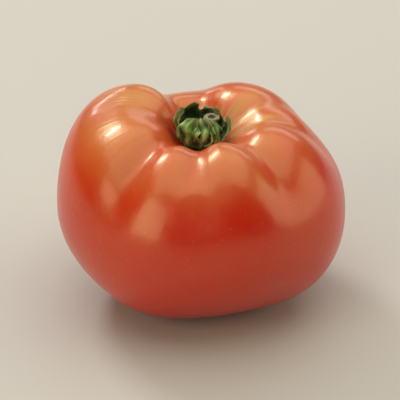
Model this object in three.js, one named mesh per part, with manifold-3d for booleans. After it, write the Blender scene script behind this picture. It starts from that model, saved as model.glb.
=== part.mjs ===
// A ribbed salad tomato: one solid fruit, and in its hollow top the green calyx with a stub of its stem.
// Millimetres, +Z up. The origin is the middle of the small flat spot that the fruit rests on.
// Angles are in degrees round the Z axis, counter-clockwise from +X, and the front of the fruit is at -90.
import * as THREE from "three";
import { mergeVertices } from "three/addons/utils/BufferGeometryUtils.js";
import Module from "manifold-3d";

const wasm = await Module();
wasm.setup();

// The fruit's outline, as a stack of two squarish ellipses that meet at its widest ring.
const FRUIT = {
  radius: 41.6,
  widestHeight: 31.5,
  topHeight: 60.8,
  lowerRoundness: { across: 0.88, up: 1.02 },
  upperRoundness: { across: 0.66, up: 0.98 },
  flatRadius: 10,
  rings: 44,
  degreesPerColumn: 3.6,
};
const OUTLINE_SAMPLES = 400;
const ARC_DIVISIONS = 1600;
// The hollow that the stem grows out of.
const HOLLOW = { depth: 13.6, radius: 13.2, steepness: 2.1 };
// Each groove, with the level of its floor, how far it runs down the side (about 0 to 1),
// and the level of the crest of the lobe that follows it counter-clockwise.
const GROOVES = [
  { angle: -129, floor: -3.2, reach: 0.85, crest: 0.5 },
  { angle: -93, floor: -3.4, reach: 0.2, crest: 1.8 },
  { angle: -48, floor: -3.2, reach: 0.75, crest: 0.2 },
  { angle: 2, floor: -2.8, reach: 0.8, crest: -1.5 },
  { angle: 34, floor: -2.3, reach: 0.95, crest: 0 },
  { angle: 88, floor: -4.2, reach: 0.5, crest: -3.5 },
  { angle: 122, floor: -2.8, reach: 0.7, crest: 3.0 },
  { angle: 166, floor: 2.3, reach: 1.0, crest: 2.6 },
];
// Lobes are full and their grooves narrow. Most of the relief is on the shoulder, and a little lower down.
const LOBE = { fullness: 0.6, shareOnSide: 0.1, sideBottom: -1, sideTop: 0.2, spread: 1.15 };
// The relief dies out towards the bottom of the hollow, between these distances from the axis.
const RELIEF_IN_HOLLOW = { none: 4.5, full: 15 };
// Broad places on the side that stand fuller, or flatter, than the outline.
const SWELLS = [
  { angle: -24, height: 13, swell: 1.6, halfAngle: 30, halfHeight: 14 },
  { angle: -72, height: 8, swell: -0.9, halfAngle: 30, halfHeight: 12 },
  { angle: -130, height: 9, swell: 0.9, halfAngle: 28, halfHeight: 12 },
  { angle: 158, height: 49, swell: 1.6, halfAngle: 28, halfHeight: 8 },
  { angle: 22, height: 47, swell: -1.0, halfAngle: 24, halfHeight: 8 },
];
const SWELL_FADE = { aboveFlat: 6, rimStart: 0.75 };

// The calyx: a small pad under a whorl of cupped, curled sepals, with the snapped stem in the middle.
const PAD = {
  radius: 4.8,
  shoulder: 0.92,
  thickness: 2.4,
  edge: 0.6,
  crown: 0.75,
  gap: 0.5,
  sides: 24,
  rings: 4,
};
const STEM = {
  baseRadius: 2.3,
  waistRadius: 1.8,
  endRadius: 2.35,
  waistAt: 0.55,
  knuckleAt: 0.95,
  endDip: 0.5,
  foot: 0.4,
  top: 57.8,
  lean: [3.0, 0.3],
  sides: 16,
  rings: 9,
};
// Sizes that all sepals share. Their middle is folded and pleated lengthwise, their edges ripple,
// and the crumples move them sideways by a share of what they raise them.
const SEPAL = {
  root: 1.4,
  rootLift: 0.62,
  thickness: 1.1,
  tipThinning: 0.62,
  fold: 0.34,
  pleat: 0.22,
  ripple: 0.35,
  ripples: 1.6,
  sideways: 0.8,
  baseHalfWidth: 1.7,
  bellyAt: 0.42,
  taper: 2.4,
  tipHalfWidth: 0.8,
  sides: 16,
  rings: 20,
};
// Crumples of a sepal, as waves over its flat blade: wave length, direction from its middle line, height
// and phase.
const CRUMPLES = [
  { length: 6.2, heading: 24, height: 0.26, phase: 40 },
  { length: 4.6, heading: -38, height: 0.2, phase: 200 },
  { length: 3.6, heading: 8, height: 0.14, phase: 310 },
  { length: 3.2, heading: 76, height: 0.1, phase: 120 },
];
// Each sepal: its direction, length, half width, first and last slope, how late it curls up,
// how far its tip swings sideways, and how far it twists about its own middle line.
const SEPALS = [
  { angle: -126, length: 15.2, halfWidth: 3.8, slope: 29, curl: 196, late: 1.9, swing: -6, twist: 14 },
  { angle: -84, length: 15.0, halfWidth: 3.5, slope: 31, curl: 215, late: 2.0, swing: 10, twist: -14 },
  { angle: -44, length: 13.2, halfWidth: 3.7, slope: 27, curl: 180, late: 1.9, swing: 6, twist: 16 },
  { angle: -8, length: 12.6, halfWidth: 3.8, slope: 26, curl: 118, late: 1.9, swing: -12, twist: 24 },
  { angle: 30, length: 13.6, halfWidth: 3.2, slope: 32, curl: 156, late: 1.8, swing: 8, twist: -18 },
  { angle: 70, length: 13.8, halfWidth: 3.3, slope: 33, curl: 170, late: 1.8, swing: -12, twist: 12 },
  { angle: 118, length: 15.2, halfWidth: 3.4, slope: 33, curl: 172, late: 1.9, swing: 14, twist: -20 },
  { angle: 178, length: 14.8, halfWidth: 3.8, slope: 33, curl: 142, late: 1.8, swing: -8, twist: 22 },
];

// Shifts the ripple and the crumples of each sepal against the next one's.
const GOLDEN_SHARE = 0.382;

const SKIN = { color: 0xc8401c, roughness: 0.22, metalness: 0 };
const GREEN = { color: 0x4f7036, roughness: 0.7, metalness: 0 };
// Angles closer together than this are the same.
const SAME_ANGLE = 1e-6;

const radians = THREE.MathUtils.degToRad;
const smooth = (from, to, x) => THREE.MathUtils.smoothstep(x, from, to);
const mix = THREE.MathUtils.lerp;
const polar = (radius, angle, height) =>
  new THREE.Vector3(radius * Math.cos(radians(angle)), radius * Math.sin(radians(angle)), height);

// A closed skin over a stack of rings with the same number of points, drawn to a point at both ends.
// The two halves of each ring are split the opposite way, so that the two faces of a thin blade split alike.
function loft(rings, start, end) {
  const sides = rings[0].length;
  const points = [...rings.flat(), start, end];
  const first = points.length - 2;
  const last = points.length - 1;
  const faces = [];
  for (let side = 0; side < sides; side++) {
    const next = (side + 1) % sides;
    faces.push(first, next, side);
    for (let ring = 0; ring < rings.length - 1; ring++) {
      const a = ring * sides + side;
      const b = ring * sides + next;
      if (side < sides / 2) {
        faces.push(a, b, b + sides, a, b + sides, a + sides);
      } else {
        faces.push(a, b, a + sides, b, b + sides, a + sides);
      }
    }
    const top = (rings.length - 1) * sides;
    faces.push(top + side, top + next, last);
  }
  const geometry = new THREE.BufferGeometry().setFromPoints(points);
  geometry.setIndex(faces);
  return geometry;
}

// The outline of the fruit at one latitude, before the flat spot is cut: distance from the axis, and height.
function outlineAt(latitude) {
  const { radius, widestHeight, topHeight, lowerRoundness, upperRoundness } = FRUIT;
  const across = Math.max(Math.cos(latitude), 0);
  const up = Math.abs(Math.sin(latitude));
  if (latitude < 0) {
    return new THREE.Vector2(
      radius * across ** lowerRoundness.across,
      widestHeight * (1 - up ** lowerRoundness.up),
    );
  }
  const out = radius * across ** upperRoundness.across;
  const sunk = HOLLOW.depth * Math.exp(-((out / HOLLOW.radius) ** HOLLOW.steepness));
  return new THREE.Vector2(out, mix(widestHeight, topHeight, up ** upperRoundness.up) - sunk);
}

// The outline as a curve from the flat spot's edge, up the side, over the rim and into the hollow.
function fruitOutline() {
  const flatLatitude = -Math.acos((FRUIT.flatRadius / FRUIT.radius) ** (1 / FRUIT.lowerRoundness.across));
  const lift = outlineAt(flatLatitude).y;
  const points = [];
  for (let i = 0; i <= OUTLINE_SAMPLES; i++) {
    const point = outlineAt(mix(flatLatitude, Math.PI / 2, i / OUTLINE_SAMPLES));
    points.push(new THREE.Vector2(point.x, point.y - lift));
  }
  const curve = new THREE.SplineCurve(points);
  curve.arcLengthDivisions = ARC_DIVISIONS;
  return { curve, lift, rimHeight: Math.max(...points.map((point) => point.y)) };
}

// How far the skin stands in or out at one angle where the lobes are strongest, and how far that runs down.
function lobeAt(angle) {
  const turned = THREE.MathUtils.euclideanModulo(angle - GROOVES[0].angle, 360) + GROOVES[0].angle;
  const index = GROOVES.findLastIndex((groove) => groove.angle <= turned + SAME_ANGLE);
  const here = GROOVES[index];
  const next = GROOVES[(index + 1) % GROOVES.length];
  const width = THREE.MathUtils.euclideanModulo(next.angle - here.angle, 360);
  const share = Math.max(turned - here.angle, 0) / width;
  const floor = mix(here.floor, next.floor, smooth(0, 1, share));
  const bulge = Math.max(Math.sin(Math.PI * share), 0) ** LOBE.fullness;
  return { relief: mix(floor, here.crest, bulge), reach: mix(here.reach, next.reach, smooth(0, 1, share)) };
}

// Columns of the skin, with one along the bottom of every groove.
function columnAngles() {
  return GROOVES.flatMap(({ angle }, index) => {
    const next = GROOVES[(index + 1) % GROOVES.length].angle;
    const width = THREE.MathUtils.euclideanModulo(next - angle, 360);
    const count = Math.ceil(width / FRUIT.degreesPerColumn);
    return Array.from({ length: count }, (_, i) => angle + (width * i) / count);
  });
}

// How far the skin stands out from the outline on the side, up to the rim.
function shiftOnSide(angle, height, rimHeight) {
  const { relief, reach } = lobeAt(angle);
  const climbed = (height - FRUIT.widestHeight) / (rimHeight - FRUIT.widestHeight);
  const onSide = LOBE.shareOnSide * smooth(LOBE.sideBottom, LOBE.sideTop, climbed);
  const onShoulder = (1 - LOBE.shareOnSide) * smooth(1 - reach * LOBE.spread, 1, climbed);
  const swelling = SWELLS.reduce((sum, place) => {
    const turned = THREE.MathUtils.euclideanModulo(angle - place.angle + 180, 360) - 180;
    const spread = (turned / place.halfAngle) ** 2 + ((height - place.height) / place.halfHeight) ** 2;
    return sum + place.swell * Math.exp(-spread);
  }, 0);
  const fade = smooth(0, SWELL_FADE.aboveFlat, height) * (1 - smooth(SWELL_FADE.rimStart, 1, climbed));
  return relief * (onSide + onShoulder) + swelling * fade;
}

function makeFruit() {
  const { curve, rimHeight } = fruitOutline();
  const angles = columnAngles();
  const rings = [];
  let pastRim = false;
  for (let i = 0; i < FRUIT.rings; i++) {
    const u = i / FRUIT.rings;
    const { x: out, y: height } = curve.getPointAt(u);
    const along = curve.getTangentAt(u);
    pastRim ||= along.y < 0 && height > FRUIT.widestHeight;
    const inHollow = smooth(RELIEF_IN_HOLLOW.none, RELIEF_IN_HOLLOW.full, out);
    rings.push(
      angles.map((angle) => {
        const shift = pastRim ? lobeAt(angle).relief * inHollow : shiftOnSide(angle, height, rimHeight);
        return polar(out + shift * along.y, angle, Math.max(height - shift * along.x, 0));
      }),
    );
  }
  const pit = curve.getPointAt(1).y;
  return loft(rings, new THREE.Vector3(0, 0, 0), new THREE.Vector3(0, 0, pit));
}

// Height of the hollow's floor at a small distance from the axis, inside the reach of the lobes' relief.
function hollowFloor(out) {
  const across = (out / FRUIT.radius) ** (1 / FRUIT.upperRoundness.across);
  return outlineAt(Math.acos(across)).y - fruitOutline().lift;
}

// The pad that the sepals grow from, lying just clear of the hollow's floor.
function makePad() {
  const { radius, shoulder, thickness, edge, crown, gap, sides, rings } = PAD;
  const bottom = (out) => hollowFloor(out) + gap;
  const dome = (out) => bottom(0) + thickness * Math.sqrt(1 - crown * (out / radius) ** 2);
  const turns = Array.from({ length: sides }, (_, i) => (360 * i) / sides);
  const circle = (out, height) => turns.map((angle) => polar(out, angle, height));
  const lower = Array.from({ length: rings }, (_, i) => (radius * (i + 1)) / rings);
  const upper = lower.map((out) => out * shoulder).reverse();
  const stack = [
    ...lower.map((out) => circle(out, bottom(out))),
    ...upper.map((out) => circle(out, Math.max(dome(out), bottom(out) + edge))),
  ];
  return loft(stack, polar(0, 0, bottom(0)), polar(0, 0, dome(0)));
}

// The stub of stem: it narrows to a waist and swells at the knuckle where it snapped off.
function makeStem() {
  const { baseRadius, waistRadius, endRadius, waistAt, knuckleAt, top, lean, sides, rings } = STEM;
  const bottom = hollowFloor(0) + PAD.gap + PAD.thickness * STEM.foot;
  const stack = Array.from({ length: rings }, (_, i) => {
    const share = i / (rings - 1);
    const waist = mix(baseRadius, waistRadius, smooth(0, waistAt, share));
    const radius = mix(waist, endRadius, smooth(waistAt, knuckleAt, share));
    const centre = new THREE.Vector3(lean[0] * share ** 2, lean[1] * share ** 2, mix(bottom, top, share));
    return Array.from({ length: sides }, (_, k) => polar(radius, (360 * k) / sides, 0).add(centre));
  });
  return loft(stack, polar(0, 0, bottom), new THREE.Vector3(lean[0], lean[1], top - STEM.endDip));
}

// How wide a sepal is on each side of its middle, at a share of its length.
function sepalHalfWidth(share, halfWidth) {
  const { baseHalfWidth, bellyAt, taper, tipHalfWidth } = SEPAL;
  const belly = mix(baseHalfWidth, halfWidth, smooth(0, bellyAt, share));
  return mix(belly, tipHalfWidth, Math.max(0, (share - bellyAt) / (1 - bellyAt)) ** taper);
}

// How far the crumples raise a sepal, and move it sideways, at a place on its flat blade.
function crumpleAt(along, across, index) {
  return CRUMPLES.reduce(
    ([up, aside], { length, heading, height, phase }, wave) => {
      const travelled = along * Math.cos(radians(heading)) + across * Math.sin(radians(heading));
      const shifted = phase / 360 + (wave + 1) * index * GOLDEN_SHARE;
      const turn = 2 * Math.PI * (travelled / length + shifted);
      return [up + height * Math.sin(turn), aside + height * SEPAL.sideways * Math.cos(turn)];
    },
    [0, 0],
  );
}

// One sepal: a flat tube cupped towards the stem, whose middle line follows the hollow's wall
// and then curls up and over. Its rings run counter-clockwise round that line.
function makeSepal({ angle, length, halfWidth, slope, curl, late, swing, twist }, index) {
  const { root, rootLift, thickness, tipThinning, bellyAt, sides, rings } = SEPAL;
  const { fold, pleat, ripple, ripples } = SEPAL;
  const step = length / (rings - 1);
  const middle = polar(root, angle, hollowFloor(0) + PAD.gap + PAD.thickness * rootLift);
  const start = middle.clone();
  const along = polar(1, angle, 0);
  const stack = [];
  for (let i = 0; i < rings; i++) {
    const share = i / (rings - 1);
    const pitch = radians(mix(slope, curl, share ** late));
    const heading = angle + swing * share ** 2;
    along.copy(polar(Math.cos(pitch), heading, Math.sin(pitch)));
    const across = polar(1, heading + 90, 0).applyAxisAngle(along, radians(twist * share));
    const inner = new THREE.Vector3().crossVectors(along, across);
    const half = sepalHalfWidth(share, halfWidth);
    const halfThick = (thickness * mix(1, tipThinning, share)) / 2;
    const grown = smooth(0, bellyAt, share);
    const wave = ripple * Math.sin(2 * Math.PI * (ripples * share + index * GOLDEN_SHARE)) * grown;
    stack.push(
      Array.from({ length: sides }, (_, k) => {
        const turn = (2 * Math.PI * k) / sides;
        const side = Math.cos(turn);
        const [up, aside] = crumpleAt(share * length, side * half, index);
        const cupped = (fold * half * Math.abs(side) - pleat * Math.cos(2 * Math.PI * side) + up) * grown;
        const raised = Math.sin(turn) * halfThick + cupped + wave * side ** 2;
        return middle
          .clone()
          .addScaledVector(across, side * half + aside * grown)
          .addScaledVector(inner, raised);
      }),
    );
    if (i < rings - 1) {
      middle.addScaledVector(along, step);
    }
  }
  return loft(stack, start, middle.clone().addScaledVector(along, SEPAL.tipHalfWidth));
}

// A geometry as a solid that can be joined to others, and back again.
function toSolid(geometry) {
  const merged = mergeVertices(geometry);
  return new wasm.Manifold(
    new wasm.Mesh({
      numProp: 3,
      vertProperties: merged.attributes.position.array,
      triVerts: new Uint32Array(merged.index.array),
    }),
  );
}

function toGeometry(solid) {
  const mesh = solid.getMesh();
  return new THREE.BufferGeometry()
    .setAttribute("position", new THREE.BufferAttribute(mesh.vertProperties, mesh.numProp))
    .setIndex(new THREE.BufferAttribute(mesh.triVerts, 1));
}

function makeCalyx() {
  const pieces = [makePad(), makeStem(), ...SEPALS.map(makeSepal)];
  return toGeometry(pieces.map(toSolid).reduce((joined, piece) => joined.add(piece)));
}

function part(name, geometry, finish) {
  geometry.computeVertexNormals();
  const mesh = new THREE.Mesh(geometry, new THREE.MeshStandardMaterial(finish));
  mesh.name = name;
  return mesh;
}

const tomato = new THREE.Group();
tomato.add(part("fruit", makeFruit(), SKIN));
tomato.add(part("calyx", makeCalyx(), GREEN));

export default tomato;
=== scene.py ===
"""The salad tomato as it looks: ribbed waxy skin, crumpled green calyx and snapped stem, in a pale studio.

The shapes repeat the formulas and the sizes of the part's solids, more finely. Sizes are in millimetres and
angles in degrees, counter-clockwise from +X, so the front of the fruit is at -90. Meshes are kept in metres.
A field named range, or one that is stepped smoothly, holds the value that gives none and the one that gives
all, and a field named side or ring holds the middle and the half width of a bell curve. Grains are counted in
a metre.
"""

import logging
import math
from dataclasses import dataclass, field
from enum import Enum

import bpy
import numpy as np
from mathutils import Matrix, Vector


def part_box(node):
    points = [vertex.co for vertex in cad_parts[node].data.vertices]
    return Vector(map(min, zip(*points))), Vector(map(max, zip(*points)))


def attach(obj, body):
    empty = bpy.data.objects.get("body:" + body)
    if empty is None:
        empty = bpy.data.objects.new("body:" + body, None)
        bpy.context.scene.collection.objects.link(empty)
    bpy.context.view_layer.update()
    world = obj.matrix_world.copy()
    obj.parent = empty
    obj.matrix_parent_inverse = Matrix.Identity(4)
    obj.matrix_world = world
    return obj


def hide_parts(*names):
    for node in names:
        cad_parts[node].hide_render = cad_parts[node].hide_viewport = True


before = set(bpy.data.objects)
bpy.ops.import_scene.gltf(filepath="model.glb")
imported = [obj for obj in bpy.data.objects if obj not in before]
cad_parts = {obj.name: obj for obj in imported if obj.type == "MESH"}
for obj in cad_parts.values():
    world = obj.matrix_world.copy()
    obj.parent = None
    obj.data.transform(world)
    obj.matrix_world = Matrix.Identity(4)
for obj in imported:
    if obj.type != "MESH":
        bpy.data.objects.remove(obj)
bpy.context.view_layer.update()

log = logging.getLogger("salad_tomato")

MM = 0.001
BODY = "root"
NOISE_MIDDLE = 0.5
FINE_DETAIL = 3.0
Colour = tuple[float, float, float, float]
Pair = tuple[float, float]
Shades = dict[str, np.ndarray]
Socket = bpy.types.NodeSocket


class Slot(Enum):
    """The material slots of the record."""

    SKIN = "tomato_skin"
    GREEN = "calyx_green"


class Node(Enum):
    """The solids that the finer pieces stand for."""

    FRUIT = "fruit"
    CALYX = "calyx"


def smooth(low: float, high: float, x: np.ndarray) -> np.ndarray:
    """Smooth step of x: 0 below low, 1 above high, and 3t^2 - 2t^3 between them."""
    t = np.clip((x - low) / (high - low), 0.0, 1.0)
    return t * t * (3.0 - 2.0 * t)


def mix(low: np.ndarray, high: np.ndarray, share: np.ndarray) -> np.ndarray:
    """Straight mix from low to high by a share."""
    return low + (high - low) * share


def turned(angle: np.ndarray, centre: float) -> np.ndarray:
    """Angles as seen from a centre angle, from -180 to 180."""
    return (angle - centre + 180.0) % 360.0 - 180.0


def around(out: np.ndarray, angle: np.ndarray, height: np.ndarray) -> np.ndarray:
    """Points from their distance to the axis, their angle round it and their height, with x, y and z last."""
    out, turn, height = np.broadcast_arrays(out, np.radians(angle), height)
    return np.stack([out * np.cos(turn), out * np.sin(turn), height], axis=-1)


def bell(x: np.ndarray, centre: float, half: float) -> np.ndarray:
    """Bell curve exp(-((x - centre) / half)^2)."""
    return np.exp(-(((x - centre) / half) ** 2))


def side_bell(angle: np.ndarray, centre: float, half: float) -> np.ndarray:
    """Bell curve round the axis, about a centre angle."""
    return bell(turned(angle, centre), 0.0, half)


def screen(red: int, green: int, blue: int) -> Colour:
    """A screen colour as the linear colour that a shader socket takes.

    Args:
        red: Red, 0 to 255.
        green: Green, 0 to 255.
        blue: Blue, 0 to 255.

    Returns:
        Linear red, green and blue, and 1 for alpha.
    """
    toe, slope, offset, power = 0.04045, 12.92, 0.055, 2.4
    shares = (red / 255, green / 255, blue / 255)
    return (*(s / slope if s <= toe else ((s + offset) / (1 + offset)) ** power for s in shares), 1.0)


@dataclass
class Shell:
    """A closed skin over a grid of rings, drawn to a point at both ends.

    Attributes:
        rings: Points, rings by sides by 3, counter-clockwise round the way that the rings run.
        start: Point before the first ring.
        end: Point after the last ring.
        shades: Values for the material, each a name with an array of rings by sides.
    """

    rings: np.ndarray
    start: np.ndarray
    end: np.ndarray
    shades: Shades = field(default_factory=dict)

    def points(self) -> np.ndarray:
        """All points, ring after ring, with the two end points last."""
        return np.vstack([self.rings.reshape(-1, 3), self.start, self.end])

    def quads(self) -> np.ndarray:
        """Four-sided faces between neighbouring rings, facing out.

        Returns:
            Point numbers, four a face.
        """
        count, sides = self.rings.shape[:2]
        ring, side = np.meshgrid(np.arange(count - 1), np.arange(sides), indexing="ij")
        after = (side + 1) % sides
        low, high = ring * sides, (ring + 1) * sides
        return np.stack([low + side, low + after, high + after, high + side], axis=-1).reshape(-1, 4)

    def fans(self) -> np.ndarray:
        """Triangles that close the first ring onto the start, and the last ring onto the end.

        Returns:
            Point numbers, three a face.
        """
        count, sides = self.rings.shape[:2]
        side = np.arange(sides)
        after = (side + 1) % sides
        start, end = np.full(sides, count * sides), np.full(sides, count * sides + 1)
        top = (count - 1) * sides
        first = np.stack([start, after, side], axis=-1)
        last = np.stack([top + side, top + after, end], axis=-1)
        return np.vstack([first, last])

    def shade(self, name: str) -> np.ndarray:
        """One shade at every point, or zeros. An end point takes the mean of the ring beside it."""
        values = self.shades.get(name, np.zeros(self.rings.shape[:2]))
        return np.concatenate([values.ravel(), [values[0].mean(), values[-1].mean()]])


def put_mesh(name: str, points: np.ndarray, faces: list[np.ndarray], shades: Shades) -> bpy.types.Object:
    """Puts a mesh into the scene as a new smooth object at the origin, in metres.

    Args:
        name: Name of the piece.
        points: Points in millimetres.
        faces: Arrays of point numbers, each with one row a face.
        shades: Values for the material, one a point, which become attributes of the mesh.

    Returns:
        The new object.
    """
    corners = np.concatenate([group.ravel() for group in faces])
    totals = np.concatenate([np.full(len(group), group.shape[1]) for group in faces])
    mesh = bpy.data.meshes.new(name)
    mesh.vertices.add(len(points))
    mesh.vertices.foreach_set("co", (points * MM).ravel())
    mesh.loops.add(len(corners))
    mesh.loops.foreach_set("vertex_index", corners.astype(np.int32))
    mesh.polygons.add(len(totals))
    mesh.polygons.foreach_set("loop_start", (np.cumsum(totals) - totals).astype(np.int32))
    mesh.polygons.foreach_set("use_smooth", np.ones(len(totals), dtype=bool))
    for shade, values in sorted(shades.items()):
        attribute = mesh.attributes.new(shade, "FLOAT", "POINT")
        attribute.data.foreach_set("value", values.astype(np.float32))
    mesh.update(calc_edges=True)
    mesh.validate()
    piece = bpy.data.objects.new(name, mesh)
    bpy.context.scene.collection.objects.link(piece)
    return piece


def put_shells(name: str, shells: list[Shell]) -> bpy.types.Object:
    """Puts closed shells into one piece.

    Args:
        name: Name of the piece.
        shells: Closed skins, which may run into each other.

    Returns:
        The new object.
    """
    points = [shell.points() for shell in shells]
    firsts = np.cumsum([0] + [len(own) for own in points[:-1]])
    faces = [group + first for shell, first in zip(shells, firsts) for group in (shell.quads(), shell.fans())]
    names = sorted({key for shell in shells for key in shell.shades})
    shades = {key: np.concatenate([shell.shade(key) for shell in shells]) for key in names}
    return put_mesh(name, np.vstack(points), faces, shades)


def settle(piece: bpy.types.Object, node: Node, material: bpy.types.Material) -> bpy.types.Object:
    """Dresses a piece, and says what it rides on, which solid it stands for and whose finish it takes.

    Args:
        piece: The piece.
        node: The solid that it replaces.
        material: Its material.

    Returns:
        The piece.
    """
    piece.data.materials.append(material)
    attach(piece, BODY)
    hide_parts(node.value)
    low, high = (np.array(corner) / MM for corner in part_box(node.value))
    size = np.array(piece.dimensions) / MM
    sizes = np.round(size, 1), np.round(high - low, 1)
    log.info("%s: %d faces, %s mm; its solid is %s mm", piece.name, len(piece.data.polygons), *sizes)
    return piece


class Wiring:
    """A short way to wire up one material's nodes."""

    def __init__(self, name: str) -> None:
        """Makes a material that holds only its output.

        Args:
            name: Name of the material.
        """
        self.material = bpy.data.materials.new(name)
        self.material.use_nodes = True
        self.tree = self.material.node_tree
        self.tree.nodes.clear()
        self.output = self.tree.nodes.new("ShaderNodeOutputMaterial")
        self.place = self.tree.nodes.new("ShaderNodeTexCoord").outputs["Object"]

    def feed(self, socket: Socket, value: object) -> None:
        """Gives an input a value, or joins it to another node's output.

        Args:
            socket: The input.
            value: A number, vector or colour, or an output.
        """
        if isinstance(value, Socket):
            self.tree.links.new(value, socket)
        else:
            socket.default_value = value

    def maths(self, operation: str, *values: object) -> Socket:
        """A Math node.

        Args:
            operation: Name of the operation.
            *values: Numbers or outputs, in the order of the node's inputs.

        Returns:
            The node's output.
        """
        node = self.tree.nodes.new("ShaderNodeMath")
        node.operation = operation
        for socket, value in zip(node.inputs, values):
            self.feed(socket, value)
        return node.outputs[0]

    def times(self, first: object, second: object) -> Socket:
        """The product of two numbers or outputs."""
        return self.maths("MULTIPLY", first, second)

    def plus(self, first: object, second: object) -> Socket:
        """The sum of two numbers or outputs."""
        return self.maths("ADD", first, second)

    def centred(self, noise: object) -> Socket:
        """A noise less its middle value."""
        return self.maths("SUBTRACT", noise, NOISE_MIDDLE)

    def vector(self, operation: str, *values: object) -> Socket:
        """A Vector Math node.

        Args:
            operation: Name of the operation.
            *values: Vectors or outputs, in the order of the node's inputs.

        Returns:
            The node's vector output.
        """
        node = self.tree.nodes.new("ShaderNodeVectorMath")
        node.operation = operation
        for socket, value in zip(node.inputs, values):
            self.feed(socket, value)
        return node.outputs[0]

    def shade(self, name: str) -> Socket:
        """The value of one of the piece's own shades.

        Args:
            name: Name of the shade.

        Returns:
            Its value.
        """
        node = self.tree.nodes.new("ShaderNodeAttribute")
        node.attribute_name = name
        return node.outputs["Fac"]

    def ramp(self, value: object, low: float, high: float) -> Socket:
        """A smooth step of a value, 0 at low and 1 at high.

        Args:
            value: Output to step.
            low: Value that gives 0.
            high: Value that gives 1.

        Returns:
            The step.
        """
        node = self.tree.nodes.new("ShaderNodeMapRange")
        node.interpolation_type = "SMOOTHSTEP"
        self.feed(node.inputs["Value"], value)
        node.inputs["From Min"].default_value = low
        node.inputs["From Max"].default_value = high
        return node.outputs["Result"]

    def noise(self, place: object, scale: float, detail: float = 2.0) -> Socket:
        """A noise about 0.5.

        Args:
            place: Coordinates.
            scale: Grains in one unit of the coordinates.
            detail: How many finer layers lie on top, each half as strong.

        Returns:
            The noise's value.
        """
        node = self.tree.nodes.new("ShaderNodeTexNoise")
        self.feed(node.inputs["Vector"], place)
        node.inputs["Scale"].default_value = scale
        node.inputs["Detail"].default_value = detail
        node.inputs["Roughness"].default_value = 0.5
        return node.outputs["Fac"]

    def dots(self, scale: float, inner: float, outer: float) -> Socket:
        """Round dots, one in each cell of an uneven net over the piece.

        Args:
            scale: Cells in a metre.
            inner: Radius within which a dot is full, in cells.
            outer: Radius at which it ends, in cells.

        Returns:
            1 in the dots, and 0 between them.
        """
        node = self.tree.nodes.new("ShaderNodeTexVoronoi")
        node.inputs["Scale"].default_value = scale
        self.feed(node.inputs["Vector"], self.place)
        return self.maths("SUBTRACT", 1.0, self.ramp(node.outputs["Distance"], inner, outer))

    def blend(self, share: object, low: object, high: object) -> Socket:
        """A mix of two colours.

        Args:
            share: How much of the second colour.
            low: First colour.
            high: Second colour.

        Returns:
            The mixed colour.
        """
        node = self.tree.nodes.new("ShaderNodeMix")
        node.data_type = "RGBA"
        colours = [socket for socket in node.inputs if socket.type == "RGBA"]
        for socket, value in zip((node.inputs[0], *colours), (share, low, high)):
            self.feed(socket, value)
        return next(socket for socket in node.outputs if socket.type == "RGBA")

    def bump(self, height: object, distance: float, strength: float) -> Socket:
        """A bump from a height.

        Args:
            height: Height, about 0 to 1.
            distance: How deep a height of 1 is, in metres.
            strength: Share of the bump that shows.

        Returns:
            The bumped normal.
        """
        node = self.tree.nodes.new("ShaderNodeBump")
        node.inputs["Distance"].default_value = distance
        node.inputs["Strength"].default_value = strength
        self.feed(node.inputs["Height"], height)
        return node.outputs["Normal"]

    def finish(self, **inputs: object) -> bpy.types.Material:
        """Ends the material in one Principled shader.

        Args:
            **inputs: The shader's inputs, with underscores for the spaces in their names.

        Returns:
            The material.
        """
        shader = self.tree.nodes.new("ShaderNodeBsdfPrincipled")
        for name, value in inputs.items():
            self.feed(shader.inputs[name.replace("_", " ")], value)
        self.tree.links.new(shader.outputs[0], self.output.inputs["Surface"])
        return self.material


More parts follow.
